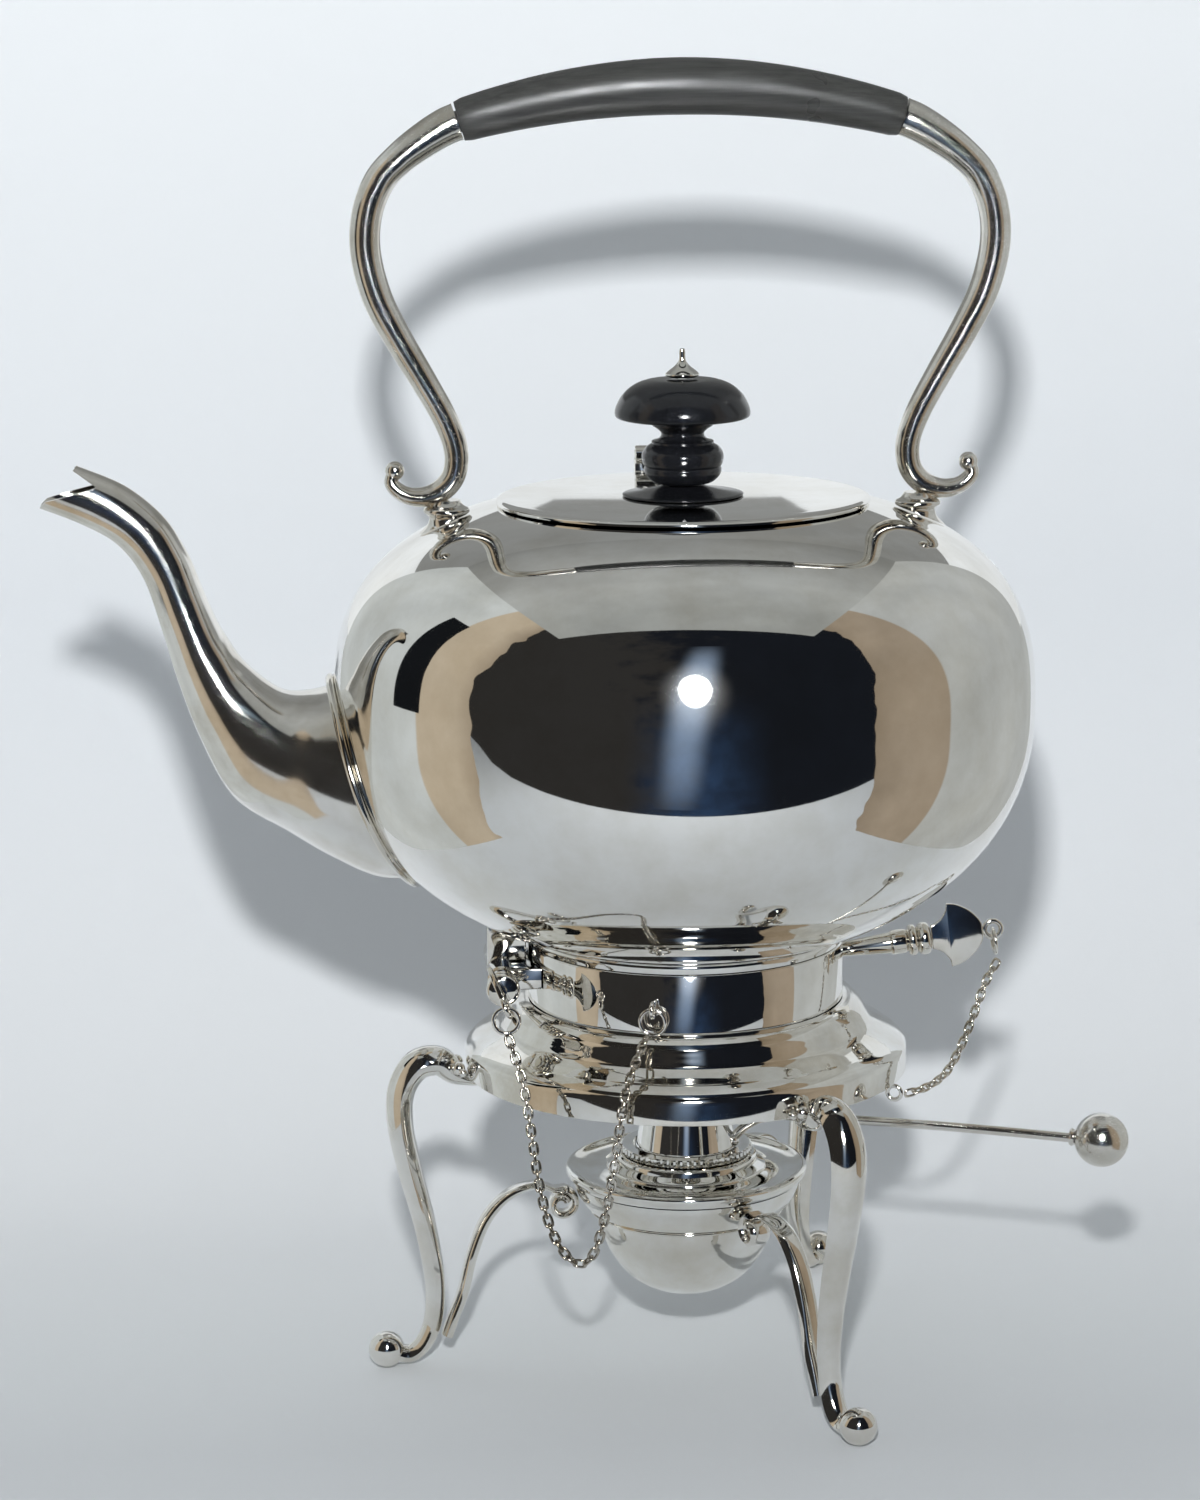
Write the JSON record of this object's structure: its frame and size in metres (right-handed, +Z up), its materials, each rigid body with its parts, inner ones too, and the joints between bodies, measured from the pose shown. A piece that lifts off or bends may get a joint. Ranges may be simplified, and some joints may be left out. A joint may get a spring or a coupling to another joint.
{
  "type": "spirit kettle on stand",
  "caption": "Round silver tea kettle with a hinged lid and ebony handle, tipping on a legged stand over a spirit lamp.",
  "frame": {"origin": "centre of the whole object's bounding box, on the plane that the feet rest on", "axes": "+Z up; -X is the spout's side; -Y is the side that the front pin's plate points to; +Y is the lid hinge's side"},
  "size_m": [0.2552, 0.168, 0.3167],
  "materials": {
    "silver": "mirror-polished silver",
    "satin_ebony": "satin ebony",
    "gloss_ebony": "polished ebony",
    "wick_cotton": "braided cotton"
  },
  "bodies": {
    "stand": {"stand_collar": "silver", "stand_gallery": "silver", "leg_1": "silver", "leg_2": "silver", "leg_3": "silver", "leg_strap_1": "silver", "leg_strap_2": "silver", "leg_strap_3": "silver", "lamp_ring": "silver", "hinge_knuckle_near": "silver", "hinge_knuckle_far": "silver", "front_chain_eye": "silver", "front_chain_ring": "silver", "rear_chain_eye": "silver", "front_chain": "silver", "rear_chain": "silver"},
    "kettle": {"kettle_body": "silver", "kettle_foot": "silver", "hinge_lug": "silver", "spout": "silver", "spout_seam_bead": "silver", "handle_stub_left": "silver", "handle_stub_right": "silver", "handle_arm_left": "silver", "handle_arm_right": "silver", "handle_grip": "satin_ebony", "grip_pin_left": "silver", "grip_pin_right": "silver", "body_knuckle_left": "silver", "body_knuckle_right": "silver", "lid_hinge_pin": "silver"},
    "lid": {"lid_cover": "silver", "lid_bezel": "silver", "lid_knuckle": "silver", "knob_disc": "gloss_ebony", "knob_stem": "gloss_ebony", "knob_cap": "gloss_ebony", "knob_finial": "silver", "knob_bolt": "silver", "knob_nut": "silver"},
    "front_pin": {"front_pin": "silver", "front_pin_plate": "silver", "front_pin_ring": "silver"},
    "rear_pin": {"rear_pin": "silver", "rear_pin_plate": "silver", "rear_pin_ring": "silver"},
    "lamp": {"lamp_bowl": "silver", "lamp_flange": "silver"},
    "burner": {"burner_collar": "silver", "wick_tube": "silver", "wick": "wick_cotton"},
    "snuffer": {"snuffer_cap": "silver", "snuffer_rod": "silver", "snuffer_ball": "silver"}
  },
  "joints": [
    {"name": "kettle_tilt", "type": "hinge", "parent": "stand", "child": "kettle", "pos_m": [-0.021, 0, 0.1], "axis": [0, -1, 0], "range_deg": [0, 60]},
    {"name": "lid_open", "type": "hinge", "parent": "kettle", "child": "lid", "pos_m": [0.0242, 0.0475, 0.21781], "axis": [-1, 0, 0], "range_deg": [0, 100]},
    {"name": "front_pin_draw", "type": "slide", "parent": "stand", "child": "front_pin", "axis": [0, -1, 0], "range_m": [0, 0.034]},
    {"name": "rear_pin_draw", "type": "slide", "parent": "stand", "child": "rear_pin", "axis": [0.9938, 0, 0.1115], "range_m": [0, 0.022]},
    {"name": "lamp_lift", "type": "slide", "parent": "stand", "child": "lamp", "axis": [0, 0, 1], "range_m": [0, 0.0035]},
    {"name": "burner_turn", "type": "hinge", "parent": "lamp", "child": "burner", "pos_m": [0.0242, 0, 0.0521], "axis": [0, 0, 1], "continuous": true},
    {"name": "snuffer_lift", "type": "slide", "parent": "lamp", "child": "snuffer", "axis": [0, 0, 1], "range_m": [0, 0.0045]}
  ],
  "couplings": [
    {"joint": "rear_pin_draw", "follows": "kettle_tilt", "m_per_rad": 0.021}
  ]
}
